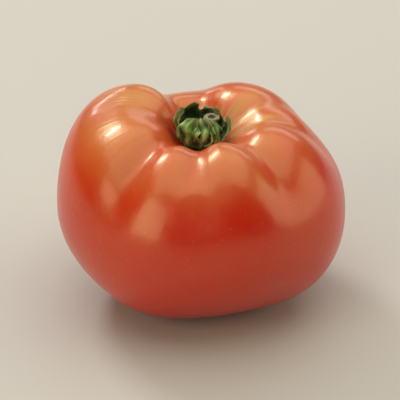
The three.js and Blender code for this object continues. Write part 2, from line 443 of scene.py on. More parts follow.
@dataclass(frozen=True)
class SkinFinish:
    """Waxy ripe skin: red below, more orange on the shoulders, with pale streaks that run out of the hollow.

    Streaks and ripples are counted round the axis. Pale streaks, peel and ripples come with their strength.
    The streaks' paleness is the one between them and what they add to it, and roughness is the least one and
    how far it varies. A speck is full within the first of its radii and ends at the second, both in cells.
    """

    ripe: Colour = screen(199, 16, 1)
    warm: Colour = screen(201, 54, 4)
    # The deeper red that is painted into the grooves and on the hollow's left wall as shade.
    deep: Colour = screen(168, 18, 1)
    pale: Colour = screen(196, 142, 66)
    cork: Colour = screen(120, 84, 48)
    climb_warmth: float = 0.42
    mottle_grains: float = 55.0
    mottle_warmth: float = 0.75
    blotch_grains: float = 190.0
    blotch_warmth: float = 0.5
    warmth_range: Pair = (0.3, 1.15)
    streak_drift: float = 4.0
    broad_streaks: Pair = (5.0, 0.55)
    narrow_streaks: Pair = (14.0, 0.45)
    streak_range: Pair = (0.39, 0.63)
    streak_paleness: Pair = (0.08, 0.85)
    crest_paleness_and_sheen: float = 0.72
    flush_streaks: float = 11.0
    flush_range: Pair = (0.5, 0.66)
    flush_strength: float = 0.2
    groove_painted_shade: float = 0.6
    speck_cells: float = 420.0
    speck_radii: Pair = (0.05, 0.16)
    speck_paleness: float = 0.28
    roughness: Pair = (0.285, 0.05)
    gloss_grains: float = 600.0
    scar_roughness: float = 0.5
    pores: float = 1500.0
    peel: Pair = (320.0, 1.6)
    ripples: Pair = (21.0, 3.0)
    bump_depth: float = 0.00012
    bump_share: float = 0.35

    def round_axis(self, w: Wiring) -> Socket:
        """Coordinates whose patterns run out of the hollow and down the sides, as streaks.

        Args:
            w: The material's wiring.

        Returns:
            The way from the axis, moved up a little with the height.
        """
        level = w.vector("MULTIPLY", w.place, (1.0, 1.0, 0.0))
        height = w.vector("MULTIPLY", w.place, (0.0, 0.0, self.streak_drift))
        return w.vector("ADD", w.vector("NORMALIZE", level), height)

    def warmth(self, w: Wiring, mottle: Socket) -> Socket:
        """How warm the skin is: more with its height, on its warm side and in the grains of two mottles.

        Args:
            w: The material's wiring.
            mottle: The slow mottle.

        Returns:
            Share of the warm colour.
        """
        blotch = w.centred(w.noise(w.place, self.blotch_grains))
        warmth = w.plus(w.times(w.shade("climb"), self.climb_warmth), w.times(mottle, self.mottle_warmth))
        warmth = w.plus(w.plus(warmth, w.times(blotch, self.blotch_warmth)), w.shade("side"))
        return w.ramp(warmth, *self.warmth_range)

    def paleness(self, w: Wiring, mottle: Socket, round_axis: Socket) -> Socket:
        """How pale the skin is: streaks out of the hollow and soft clouds on the crests, both partly painted
        light.

        Args:
            w: The material's wiring.
            mottle: The slow mottle.
            round_axis: The streaks' coordinates.

        Returns:
            Share of the pale colour.
        """
        layers = []
        for streaks, share in (self.broad_streaks, self.narrow_streaks):
            layers.append(w.times(w.noise(round_axis, streaks, detail=FINE_DETAIL), share))
        streaked = w.ramp(w.plus(*layers), *self.streak_range)
        between, added = self.streak_paleness
        # The pale shade holds the hollow's real streaks, painted light on its right wall and a partly painted
        # reflection.
        streaked = w.times(w.shade("pale"), w.plus(w.times(streaked, added), between))
        # The crests' paleness is partly their own colour and partly a painted sheen, most on the left lobe.
        crests = w.times(w.shade("shoulder"), w.times(mottle, self.crest_paleness_and_sheen))
        return w.maths("MINIMUM", w.plus(streaked, crests), 1.0)

    def relief(self, w: Wiring, round_axis: Socket) -> Socket:
        """The skin's bump: pores, a broader peel, and ripples on the crests.

        Args:
            w: The material's wiring.
            round_axis: The streaks' coordinates.

        Returns:
            The bumped normal.
        """
        grains, peel_strength = self.peel
        ripples, ripple_strength = self.ripples
        peel = w.plus(w.noise(w.place, self.pores), w.times(w.noise(w.place, grains), peel_strength))
        rippled = w.times(w.noise(round_axis, ripples), w.shade("shoulder"))
        return w.bump(w.plus(peel, w.times(rippled, ripple_strength)), self.bump_depth, self.bump_share)

    def material(self) -> bpy.types.Material:
        """Builds the material from the piece's shades and its own coordinates.

        Returns:
            The material.
        """
        w = Wiring("tomato_skin")
        mottle = w.noise(w.place, self.mottle_grains, detail=FINE_DETAIL)
        round_axis = self.round_axis(w)
        colour = w.blend(self.warmth(w, mottle), self.ripe, self.warm)
        colour = w.blend(self.paleness(w, mottle, round_axis), colour, self.pale)
        reddening = w.ramp(w.noise(round_axis, self.flush_streaks, detail=FINE_DETAIL), *self.flush_range)
        reddening = w.times(w.times(reddening, w.shade("shoulder")), self.flush_strength)
        colour = w.blend(reddening, colour, self.ripe)
        # Painted shade: the grooves and the hollow's left wall are blended towards the deeper red.
        colour = w.blend(w.times(w.shade("groove"), self.groove_painted_shade), colour, self.deep)
        specks = w.dots(self.speck_cells, *self.speck_radii)
        colour = w.blend(w.times(specks, self.speck_paleness), colour, self.pale)
        colour = w.blend(w.shade("scar"), colour, self.cork)
        least, varied = self.roughness
        dull = w.plus(w.times(w.noise(w.place, self.gloss_grains, detail=FINE_DETAIL), varied), least)
        return w.finish(
            Base_Color=colour,
            Roughness=w.plus(dull, w.times(w.shade("scar"), self.scar_roughness)),
            IOR=1.74,
            Specular_Tint=(1.0, 0.98, 0.56, 1.0),
            Subsurface_Weight=0.18,
            Subsurface_Radius=(1.0, 0.28, 0.1),
            Subsurface_Scale=0.004,
            Coat_Weight=0.22,
            Coat_Roughness=0.08,
            Coat_IOR=1.45,
            Normal=self.relief(w, round_axis),
        )


@dataclass(frozen=True)
class LeafFinish:
    """Matt, finely hairy green, brown towards the tips; pleats and folds painted pale and dark as light and
    shade.
    """

    # The folds' painted shade, the middle green, and the pleats' painted highlight.
    dark: Colour = screen(42, 64, 22)
    mid: Colour = screen(92, 130, 52)
    light: Colour = screen(168, 196, 126)
    dry: Colour = screen(112, 98, 56)
    # The inner face's colour, painted darker as shade.
    inside: Colour = screen(58, 74, 40)
    mottle_grains: float = 380.0
    leaf_grains: float = 2400.0
    mottled: float = 0.7
    fold_shade_range: Pair = (0.2, 0.65)
    pleat_light_range: Pair = (0.6, 1.15)
    inside_shade_strength: float = 0.6
    dry_mottle: float = 0.5
    dry_range: Pair = (0.8, 1.3)
    dry_strength: float = 0.8
    bump_mottle: float = 1.5
    bump_depth: float = 0.00015
    bump_share: float = 0.5

    def material(self) -> bpy.types.Material:
        """Builds the material from the piece's shades and its own coordinates.

        Returns:
            The material.
        """
        w = Wiring("calyx_leaf")
        mottle = w.noise(w.place, self.mottle_grains, detail=FINE_DETAIL)
        # Painted light and shade: the pleats' ridges run to the light green, the folds to the dark.
        ridge = w.plus(w.shade("ridge"), w.times(w.centred(mottle), self.mottled))
        colour = w.blend(w.ramp(ridge, *self.fold_shade_range), self.dark, self.mid)
        colour = w.blend(w.ramp(ridge, *self.pleat_light_range), colour, self.light)
        # Painted shade: the inner face is darker.
        colour = w.blend(w.times(w.shade("inside"), self.inside_shade_strength), colour, self.inside)
        dryness = w.ramp(w.plus(w.shade("tip"), w.times(mottle, self.dry_mottle)), *self.dry_range)
        colour = w.blend(w.times(dryness, self.dry_strength), colour, self.dry)
        relief = w.plus(w.noise(w.place, self.leaf_grains), w.times(mottle, self.bump_mottle))
        return w.finish(
            Base_Color=colour,
            Roughness=0.62,
            IOR=1.4,
            Sheen_Weight=0.25,
            Sheen_Roughness=0.4,
            Subsurface_Weight=0.08,
            Subsurface_Radius=(0.4, 0.7, 0.15),
            Subsurface_Scale=0.001,
            Normal=w.bump(relief, self.bump_depth, self.bump_share),
        )


@dataclass(frozen=True)
class StemFinish:
    """Green, ribbed bark, with a dry grey-tan cut round a dark pith."""

    bark: Colour = screen(86, 104, 52)
    rib: Colour = screen(140, 146, 92)
    cut: Colour = screen(150, 140, 112)
    pith: Colour = screen(66, 56, 38)
    grains: float = 700.0
    rib_range: Pair = (0.5, 1.4)
    pith_mottle: float = 0.5
    pith_range: Pair = (0.35, 0.65)
    bump_depth: float = 0.0003
    bump_share: float = 0.5

    def material(self) -> bpy.types.Material:
        """Builds the material from the piece's shades and its own coordinates.

        Returns:
            The material.
        """
        w = Wiring("stem_bark")
        mottle = w.noise(w.place, self.grains, detail=FINE_DETAIL)
        colour = w.blend(w.ramp(w.plus(w.shade("ridge"), mottle), *self.rib_range), self.bark, self.rib)
        frayed = w.times(w.centred(mottle), self.pith_mottle)
        end = w.blend(w.ramp(w.plus(w.shade("pith"), frayed), *self.pith_range), self.cut, self.pith)
        return w.finish(
            Base_Color=w.blend(w.shade("cut"), colour, end),
            Roughness=0.78,
            IOR=1.4,
            Normal=w.bump(mottle, self.bump_depth, self.bump_share),
        )


@dataclass(frozen=True)
class HairFinish:
    """Pale hairs, greener in places."""

    colour: Colour = screen(188, 196, 150)
    green: Colour = screen(150, 168, 104)
    grains: float = 900.0
    green_range: Pair = (0.3, 0.7)

    def material(self) -> bpy.types.Material:
        """Builds the material from the piece's own coordinates.

        Returns:
            The material.
        """
        w = Wiring("calyx_hair")
        greener = w.ramp(w.noise(w.place, self.grains), *self.green_range)
        return w.finish(Base_Color=w.blend(greener, self.colour, self.green), Roughness=0.5)


@dataclass(frozen=True)
class FloorFinish:
    """A plain pale floor, of matt paint with hardly any mottle."""

    colour: Colour = screen(191, 188, 186)
    paler: Colour = screen(196, 193, 191)
    grains: float = 4.0

    def material(self) -> bpy.types.Material:
        """Builds the material from the floor's own coordinates.

        Returns:
            The material.
        """
        w = Wiring("studio_floor")
        paint = w.blend(w.noise(w.place, self.grains), self.colour, self.paler)
        return w.finish(Base_Color=paint, Roughness=0.7)


@dataclass(frozen=True)
class Groove:
    """A groove, and the lobe that follows it counter-clockwise.

    Attributes:
        angle: Where the groove runs.
        floor: Level of its floor against the outline.
        reach: How far it runs down the side, about 0 to 1.
        crest: Level of the following lobe.
    """

    angle: float
    floor: float
    reach: float
    crest: float


@dataclass(frozen=True)
class Swell:
    """A broad place on the side that stands fuller, or flatter, than the outline.

    Attributes:
        angle: Its direction.
        height: Its height.
        swell: How far it stands out.
        half_angle: How far round it reaches.
        half_height: How far up and down it reaches.
    """

    angle: float
    height: float
    swell: float
    half_angle: float
    half_height: float


@dataclass
class Outline:
    """The outline from the flat spot's edge into the hollow, as columns with one value a row.

    Attributes:
        out: Distance from the axis.
        height: Height.
        normal_out: Outward part of the surface's normal.
        normal_up: Upward part of the surface's normal.
        past_rim: Whether the row lies in the hollow.
        climbed: Height above the widest ring, as a share of the rim's.
    """

    out: np.ndarray
    height: np.ndarray
    normal_out: np.ndarray
    normal_up: np.ndarray
    past_rim: np.ndarray
    climbed: np.ndarray


@dataclass(frozen=True)
class Tints:
    """Where the skin is streaked, pale, flushed or warm.

    Streaks run down the hollow's wall and over a patch of the right shoulder. Their extra paleness on the
    right wall is painted light, and the patch is partly a painted reflection. The crests are pale, the left
    one most, partly their own colour and partly a painted sheen. The hollow's left wall has painted shade, a
    deeper red like the grooves', and one side of the fruit is warmer.
    """

    hollow_fade: Pair = (5.0, 22.0)
    streak_least: float = 0.22
    # Painted light: the hollow's right wall is made paler.
    right_wall_light: float = 0.46
    right_wall_side: Pair = (30.0, 75.0)
    # A pale patch on the right shoulder, partly yellow striping and partly a painted reflection.
    patch_side: Pair = (14.0, 34.0)
    patch_ring: Pair = (15.0, 9.0)
    patch_strength: float = 0.8
    patch_from: float = 0.7
    crest_in_hollow: Pair = (8.0, 22.0)
    crest_climb: Pair = (0.55, 0.88)
    # How pale the crests are, partly their own colour and partly a painted sheen.
    crest_least: float = 0.8
    crest_more: float = 0.85
    left_side: Pair = (146.0, 42.0)
    left_climb: float = 0.72
    # Painted shade on the hollow's left wall, which is added to the grooves' painted shade.
    shaded_wall_side: Pair = (188.0, 52.0)
    shaded_wall_ring: Pair = (9.0, 3.6)
    warm_towards: float = 185.0
    warm_more: float = 0.18

    def shades(self, line: Outline, angle: np.ndarray, groove: np.ndarray) -> Shades:
        """The side skin's shades.

        Args:
            line: The outline.
            angle: Angle of each column.
            groove: How near a groove each point is.

        Returns:
            The shades, rows by columns.
        """
        out, climbed, past_rim = line.out, line.climbed, line.past_rim
        # The streaks are real; their extra paleness on the right wall is painted light, and the patch is
        # partly a painted reflection.
        streaks = self.streak_least + self.right_wall_light * side_bell(angle, *self.right_wall_side)
        streaks = streaks * np.where(past_rim, 1 - smooth(*self.hollow_fade, out), 0.0)
        patch = self.patch_strength * side_bell(angle, *self.patch_side) * bell(out, *self.patch_ring)
        patch = patch * np.where(past_rim, 1.0, climbed > self.patch_from)
        # The crests, the left one most, made paler partly as their own colour and partly as a painted sheen.
        crest = np.where(past_rim, smooth(*self.crest_in_hollow, out), smooth(*self.crest_climb, climbed))
        outside = smooth(self.left_climb, 1, climbed)
        left = side_bell(angle, *self.left_side) * np.where(past_rim, 1.0, outside)
        # Painted shade: the hollow's left wall is made a deeper red.
        reddening = side_bell(angle, *self.shaded_wall_side) * bell(out, *self.shaded_wall_ring) * past_rim
        return {
            "climb": np.clip(np.where(past_rim, 1.0, climbed), 0, 1) + 0 * angle,
            # Painted shade in the grooves and on the hollow's left wall.
            "groove": np.clip(groove + reddening, 0, 1),
            "pale": np.clip(streaks + patch, 0, 1),
            "shoulder": crest * (self.crest_least + self.crest_more * left),
            "side": self.warm_more * np.cos(np.radians(angle - self.warm_towards)) + 0 * out,
        }


@dataclass
class Fruit:
    """The fruit: two squarish ellipses round the axis, a hollow on top, and lobes between grooves."""

    # The outline, with the powers of the cosine and of the sine, and the hollow.
    radius: float = 41.6
    widest_height: float = 31.5
    top_height: float = 60.8
    lower_roundness: Pair = (0.88, 1.02)
    upper_roundness: Pair = (0.66, 0.98)
    hollow_depth: float = 13.6
    hollow_radius: float = 13.2
    hollow_steepness: float = 2.1

    # The grooves and lobes: what share of them the whole side shows, how far the rest spreads down from the
    # rim, and how soft they are on the side and in the hollow.
    grooves: tuple[Groove, ...] = (
        Groove(-129, -3.2, 0.85, 0.5),
        Groove(-93, -3.4, 0.2, 1.8),
        Groove(-48, -3.2, 0.75, 0.2),
        Groove(2, -2.8, 0.8, -1.5),
        Groove(34, -2.3, 0.95, 0.0),
        Groove(88, -4.2, 0.5, -3.5),
        Groove(122, -2.8, 0.7, 3.0),
        Groove(166, 2.3, 1.0, 2.6),
    )
    fullness: float = 0.6
    share_on_side: float = 0.1
    low_climb: Pair = (-1.0, 0.2)
    spread: float = 1.15
    hollow_relief: Pair = (4.5, 15.0)
    groove_softness: Pair = (4.6, 1.9)
    softest: float = 0.05
    least_out: float = 1.0

    # The swells: full from this height up to this share of the climb, with none at the flat spot or the rim.
    swells: tuple[Swell, ...] = (
        Swell(-24, 13, 1.6, 30, 14),
        Swell(-72, 8, -0.9, 30, 12),
        Swell(-130, 9, 0.9, 28, 12),
        Swell(158, 49, 1.6, 28, 8),
        Swell(22, 47, -1.0, 24, 8),
    )
    swell_height: float = 6.0
    swell_climb: float = 0.75

    # Gentle unevenness, weaker in the faster waves, which leaves the flat spot and the hollow's bottom calm.
    uneven: float = 0.16
    uneven_seed: int = 11
    uneven_waves: int = 14
    uneven_speeds: Pair = (3.0, 11.0)
    uneven_slowest: float = 1.6
    uneven_fade: float = 4.0
    calm_height: float = 8.0
    calm_hollow: Pair = (4.0, 16.0)

    # Small creases beside the calyx.
    crease: float = 0.1
    crease_seed: int = 5
    crease_waves: int = 9
    crease_counts: tuple[int, int] = (17, 58)
    crease_start: Pair = (3.0, 5.5)
    crease_end: Pair = (7.0, 15.0)

    # The flat spot, and the flower's scar in its middle.
    flat_radius: float = 10.0
    flat_spread: float = 1.5
    scar_radius: float = 1.8
    scar_depth: float = 0.5
    scar_arms: int = 5
    scar_arm: float = 0.3
    scar_paleness: float = 0.6

    # The shades, and the mesh.
    tints: Tints = Tints()
    rows: int = 226
    flat_rows: int = 14
    columns: int = 360
    samples: int = 4000

    def outline_at(self, latitude: np.ndarray) -> tuple[np.ndarray, np.ndarray]:
        """The outline before the flat spot is cut.

        The distance is radius * cos^a and the height runs with sin^b, with other powers above and below the
        widest ring, and the hollow takes away depth * exp(-(distance / hollow radius)^steepness).

        Args:
            latitude: Latitudes in radians, 0 at the widest ring.

        Returns:
            Distance from the axis, and height.
        """
        (low_across, low_up), (high_across, high_up) = self.lower_roundness, self.upper_roundness
        across, up, low = np.clip(np.cos(latitude), 0, None), np.abs(np.sin(latitude)), latitude < 0
        out = self.radius * np.where(low, across**low_across, across**high_across)
        below = self.widest_height * (1 - up**low_up)
        above = mix(self.widest_height, self.top_height, up**high_up)
        sunk = self.hollow_depth * np.exp(-((out / self.hollow_radius) ** self.hollow_steepness))
        return out, np.where(low, below, above - sunk)

    def flat_latitude(self) -> float:
        """Latitude, in radians, at which the flat spot is cut."""
        return -math.acos((self.flat_radius / self.radius) ** (1 / self.lower_roundness[0]))

    def floor_height(self, out: np.ndarray) -> np.ndarray:
        """Height of the hollow's floor near the axis.

        Args:
            out: Distance from the axis.

        Returns:
            The height there.
        """
        lift = self.outline_at(np.array([self.flat_latitude()]))[1][0]
        latitude = np.arccos((np.asarray(out) / self.radius) ** (1 / self.upper_roundness[0]))
        return self.outline_at(latitude)[1] - lift

    def outline(self) -> Outline:
        """The outline in steps of equal length, with its normals.

        Returns:
            The outline.
        """
        out, height = self.outline_at(np.linspace(self.flat_latitude(), math.pi / 2, self.samples))
        height = height - height[0]
        length = np.concatenate([[0.0], np.cumsum(np.hypot(np.diff(out), np.diff(height)))])
        even = np.arange(self.rows) / self.rows * length[-1]
        way_out, way_up = np.gradient(out, length), np.gradient(height, length)
        out, height, way_out, way_up = (np.interp(even, length, v) for v in (out, height, way_out, way_up))
        rim = np.argmax(height)
        climbed = (height - self.widest_height) / (height[rim] - self.widest_height)
        values = out, height, way_up, -way_out, np.arange(self.rows) > rim, climbed
        return Outline(*(value[:, None] for value in values))

    def lobes(self, angle: np.ndarray) -> tuple[np.ndarray, np.ndarray, np.ndarray]:
        """The lobes round the fruit, where they are strongest.

        Between two grooves the level rises from their floors to the lobe's crest, with
        sin(pi * share)^fullness.

        Args:
            angle: Angles in degrees.

        Returns:
            The level, how far it reaches down the side, and how near a groove is, as a share of the deepest.
        """
        start = self.grooves[0].angle
        angles = np.array([groove.angle for groove in self.grooves] + [start + 360.0])
        closed = self.grooves + self.grooves[:1]
        floors, reaches, crests = np.array([(each.floor, each.reach, each.crest) for each in closed]).T
        turn = (angle - start) % 360.0 + start
        here = np.clip(np.searchsorted(angles, turn, side="right") - 1, 0, len(self.grooves) - 1)
        share = (turn - angles[here]) / (angles[here + 1] - angles[here])
        eased = smooth(0, 1, share)
        floor = mix(floors[here], floors[here + 1], eased)
        bulge = np.clip(np.sin(math.pi * share), 0, None) ** self.fullness
        depth = np.clip((crests[here] - floor) / (crests.max() - floors.min()), 0, 1)
        reach = mix(reaches[here], reaches[here + 1], eased)
        return mix(floor, crests[here], bulge), reach, (1 - bulge) * depth

    def soften(self, level: np.ndarray, line: Outline) -> np.ndarray:
        """The level round each row, blurred by a bell curve whose width is a length on the skin.

        The blur works on the frequencies round the axis: the one of k turns is damped by
        exp(-(2 pi k s)^2 / 2), where s is the width in turns.

        Args:
            level: Level at each column.
            line: The outline.

        Returns:
            The level, rows by columns.
        """
        width = mix(*self.groove_softness, np.where(line.past_rim, 1.0, smooth(0, 1, line.climbed)))
        turns = np.clip(width / (2 * math.pi * np.maximum(line.out, self.least_out)), 0, self.softest)
        waves = np.fft.rfft(level)
        damping = np.exp(-((2 * math.pi * np.arange(len(waves)) * turns) ** 2) / 2)
        return np.fft.irfft(waves * damping, n=len(level), axis=1)

    def unevenness(self, points: np.ndarray) -> np.ndarray:
        """Gentle unevenness: a sum of slow plane waves over the direction from the middle of the fruit.

        Args:
            points: Points of the skin.

        Returns:
            Shift along the normal at each point.
        """
        rng = np.random.default_rng(self.uneven_seed)
        way = points - np.array([0, 0, self.widest_height])
        way = way / np.linalg.norm(way, axis=-1, keepdims=True)
        waves = rng.normal(size=(self.uneven_waves, 3))
        speeds = rng.uniform(*self.uneven_speeds, size=self.uneven_waves)
        waves *= (speeds / np.linalg.norm(waves, axis=1))[:, None]
        strength = self.uneven_slowest / (1 + np.linalg.norm(waves, axis=1) / self.uneven_fade)
        phases = rng.uniform(0, 2 * math.pi, self.uneven_waves)
        return self.uneven * np.cos(way @ waves.T + phases) @ strength

    def creases(self, angle: np.ndarray, out: np.ndarray) -> np.ndarray:
        """Small wrinkles that run out of the hollow: a sum of waves round the axis, strongest beside the pad.

        Args:
            angle: Angle of each column.
            out: Distance of each row from the axis.

        Returns:
            Shift along the normal, rows by columns.
        """
        rng = np.random.default_rng(self.crease_seed)
        counts = rng.integers(*self.crease_counts, size=self.crease_waves)
        phases = rng.uniform(0, 2 * math.pi, self.crease_waves)
        turn = np.radians(angle)[:, None]
        waves = np.sin(turn * counts + phases).sum(axis=1) / math.sqrt(self.crease_waves)
        return self.crease * waves * (smooth(*self.crease_start, out) * (1 - smooth(*self.crease_end, out)))

    def swelling(self, angle: np.ndarray, height: np.ndarray) -> np.ndarray:
        """The broad swells of the side, each a bell curve round and up, added up.

        Args:
            angle: Angle of each column.
            height: Height of each row.

        Returns:
            Shift along the normal, rows by columns.
        """
        total = np.zeros(np.broadcast_shapes(angle.shape, height.shape))
        for place in self.swells:
            round_it = side_bell(angle, place.angle, place.half_angle)
            total += place.swell * round_it * bell(height, place.height, place.half_height)
        return total

    def side_skin(self, line: Outline, angle: np.ndarray) -> tuple[np.ndarray, Shades]:
        """The skin from the flat spot's edge to the bottom of the hollow.

        Args:
            line: The outline.
            angle: Angle of each column.

        Returns:
            Points, rows by columns by 3, and their shades.
        """
        level, reach, near_groove = self.lobes(angle)
        out, height, climbed, past_rim = line.out, line.height, line.climbed, line.past_rim
        on_side = self.share_on_side * smooth(*self.low_climb, climbed)
        on_shoulder = (1 - self.share_on_side) * smooth(1 - reach * self.spread, 1, climbed)
        window = np.where(past_rim, smooth(*self.hollow_relief, out), on_side + on_shoulder)
        fade = smooth(0, self.swell_height, height) * (1 - smooth(self.swell_climb, 1, climbed)) * ~past_rim
        calm = smooth(0, self.calm_height, height) * np.where(past_rim, smooth(*self.calm_hollow, out), 1.0)
        shift = self.soften(level, line) * window + self.swelling(angle, height) * fade
        shift += self.unevenness(around(out, angle, height)) * calm
        shift += self.creases(angle, out) * past_rim
        moved = np.maximum(height + shift * line.normal_up, 0)
        points = around(out + shift * line.normal_out, angle, moved)
        # How near a groove is also becomes the grooves' painted shade.
        return points, self.tints.shades(line, angle, self.soften(near_groove, line) * window)

    def flat_skin(self, angle: np.ndarray) -> tuple[np.ndarray, Shades]:
        """The flat spot, with the small dimpled scar that the flower left in its middle.

        The dimple is depth * exp(-(distance / radius)^2), with a few shallow arms.

        Args:
            angle: Angle of each column.

        Returns:
            Points, rows by columns by 3, and their shades.
        """
        share = (np.arange(self.flat_rows)[:, None] + 0.5) / self.flat_rows
        out = self.flat_radius * share**self.flat_spread
        arms = 1 + self.scar_arm * np.cos(self.scar_arms * np.radians(angle))
        scar = bell(out / arms, 0.0, self.scar_radius)
        shades = {name: np.zeros_like(scar) for name in ("climb", "groove", "side", "shoulder")}
        shades |= {"pale": scar * self.scar_paleness, "scar": scar}
        return around(out, angle, self.scar_depth * scar), shades

    def build(self) -> bpy.types.Object:
        """Builds and dresses the fruit.

        Returns:
            The fruit's skin.
        """
        angle = np.arange(self.columns) * 360.0 / self.columns
        side, side_shades = self.side_skin(self.outline(), angle)
        flat, flat_shades = self.flat_skin(angle)
        side_shades["scar"] = np.zeros(side.shape[:2])
        shades = {name: np.vstack([flat_shades[name], side_shades[name]]) for name in side_shades}
        start, end = np.array([0, 0, self.scar_depth]), np.array([0, 0, self.floor_height(0.0)])
        skin = Shell(np.vstack([flat, side]), start, end, shades)
        piece = put_shells("tomato_fruit", [skin])
        return settle(piece, Node.FRUIT, SkinFinish().material())


@dataclass(frozen=True)
class Crumple:
    """One wave of a sepal's crumples.

    Attributes:
        length: Its length.
        heading: Its direction, from the sepal's middle line.
        height: Its height.
        phase: Its phase.
    """

    length: float
    heading: float
    height: float
    phase: float


@dataclass(frozen=True)
class Sepal:
    """One sepal.

    Attributes:
        angle: Its direction.
        length: Its length.
        half_width: Half its width at the belly.
        slope: Its slope at the root.
        curl: Its slope at the tip.
        late: How late it curls up.
        swing: How far its tip swings sideways.
        twist: How far it twists about its own middle line.
    """

    angle: float
    length: float
    half_width: float
    slope: float
    curl: float
    late: float
    swing: float
    twist: float


@dataclass
class Whorl:
    """The pad under the stem, and the cupped, pleated and crumpled sepals that grow from it."""

    fruit: Fruit

    # The pad, whose underside keeps a gap to the hollow's floor.
    gap: float = 0.5
    pad_radius: float = 4.8
    pad_shoulder: float = 0.92
    pad_thickness: float = 2.4
    pad_edge: float = 0.6
    pad_crown: float = 0.75
    pad_clearance: float = 0.6
    pad_rib: float = 0.12
    pad_ribs: int = 16

    # The sepals, from their roots in the pad to their tips.
    sepals: tuple[Sepal, ...] = (
        Sepal(-126, 15.2, 3.8, 29, 196, 1.9, -6, 14),
        Sepal(-84, 15.0, 3.5, 31, 215, 2.0, 10, -14),
        Sepal(-44, 13.2, 3.7, 27, 180, 1.9, 6, 16),
        Sepal(-8, 12.6, 3.8, 26, 118, 1.9, -12, 24),
        Sepal(30, 13.6, 3.2, 32, 156, 1.8, 8, -18),
        Sepal(70, 13.8, 3.3, 33, 170, 1.8, -12, 12),
        Sepal(118, 15.2, 3.4, 33, 172, 1.9, 14, -20),
        Sepal(178, 14.8, 3.8, 33, 142, 1.8, -8, 22),
    )
    root: float = 1.4
    root_lift: float = 0.62
    root_depth: float = 0.2
    base_half_width: float = 1.7
    belly_at: float = 0.42
    taper: float = 2.4
    tip_half_width: float = 0.8
    thickness: float = 0.85
    tip_thinning: float = 0.5

    # What bends a blade: its fold, pleat, veins, rippled and notched edges, and crumples.
    fold: float = 0.34
    fold_rounding: float = 0.02
    fold_drop: float = 0.14
    pleat: float = 0.26
    vein: float = 0.06
    veins: int = 4
    ripple: float = 0.35
    ripples: float = 1.6
    ripple_shift: float = 0.382
    notch: float = 0.06
    notches: float = 31.0
    crumples: tuple[Crumple, ...] = (
        Crumple(6.2, 24, 0.26, 40),
        Crumple(4.6, -38, 0.2, 200),
        Crumple(3.6, 8, 0.14, 310),
        Crumple(3.2, 76, 0.1, 120),
        Crumple(2.1, -12, 0.05, 75),
        Crumple(1.7, 52, 0.04, 260),
        Crumple(1.3, -66, 0.03, 10),
    )
    sideways: float = 0.8

    # The shades of the pad and the blades: painted light on the pleats' ridges, painted shade in their folds.
    pad_shade: float = 0.35
    plain_shade: float = 0.5
    pleat_light_and_shade: float = 0.3
    vein_light_and_shade: float = 0.1
    crumple_light_and_shade: float = 0.7
    edge_shade: float = 0.35
    edge_from: float = 0.8
    face_blend: float = 0.3
    tip_edge: float = 0.25

    # The mesh.
    rows: int = 72
    sides: int = 64
    pad_rows: int = 14
    pad_sides: int = 96

    def bottom(self) -> float:
        """Height of the pad's underside on the axis."""
        return float(self.fruit.floor_height(0.0)) + self.gap

    def pad(self) -> Shell:
        """The pad: its underside follows the hollow's floor, and its top is a ribbed dome.

        The dome's height is thickness * sqrt(1 - crown * (distance / radius)^2).

        Returns:
            The pad.
        """
        angle = np.arange(self.pad_sides) * 360.0 / self.pad_sides
        low = (self.pad_radius * (np.arange(self.pad_rows) + 1) / self.pad_rows)[:, None]
        high = low[::-1] * self.pad_shoulder
        under = self.fruit.floor_height(low) + self.gap * self.pad_clearance
        crown = np.sqrt(1 - self.pad_crown * (high / self.pad_radius) ** 2)
        dome = self.bottom() + self.pad_thickness * crown
        over = np.maximum(dome, self.fruit.floor_height(high) + self.gap + self.pad_edge)
        ribs = self.pad_rib * np.cos(self.pad_ribs * np.radians(angle)) * (high / self.pad_radius)
        rings = np.vstack([around(low, angle, under), around(high, angle, over + ribs)])
        shades = {"ridge": np.full(rings.shape[:2], self.pad_shade), "tip": np.zeros(rings.shape[:2])}
        ends = [np.array([0, 0, height]) for height in (under.min(), self.bottom() + self.pad_thickness)]
        return Shell(rings, *ends, shades)

    def half_width(self, share: np.ndarray, widest: float) -> np.ndarray:
        """Half a sepal's width: it widens smoothly to its belly, and then narrows with a power of the share.

        Args:
            share: Share of its length.
            widest: Half width at the belly.

        Returns:
            The half width there.
        """
        belly = mix(self.base_half_width, widest, smooth(0, self.belly_at, share))
        past = np.clip((share - self.belly_at) / (1 - self.belly_at), 0, 1)
        return mix(belly, self.tip_half_width, past**self.taper)

    def crumpled(self, along: np.ndarray, across: np.ndarray, index: int) -> tuple[np.ndarray, np.ndarray]:
        """Crumples of a blade: a sum of plane waves, each shifted a little further on every sepal.

        Args:
            along: Distance along the flat blade.
            across: Distance across it.
            index: The sepal's number in the whorl.

        Returns:
            How far the blade is raised, and how far it is moved sideways.
        """
        up, aside = 0.0, 0.0
        for number, wave in enumerate(self.crumples, start=1):
            heading = math.radians(wave.heading)
            travelled = along * math.cos(heading) + across * math.sin(heading)
            shifted = wave.phase / 360 + number * index * self.ripple_shift
            turn = 2 * math.pi * (travelled / wave.length + shifted)
            up = up + wave.height * np.sin(turn)
            aside = aside + wave.height * self.sideways * np.cos(turn)
        return up, aside

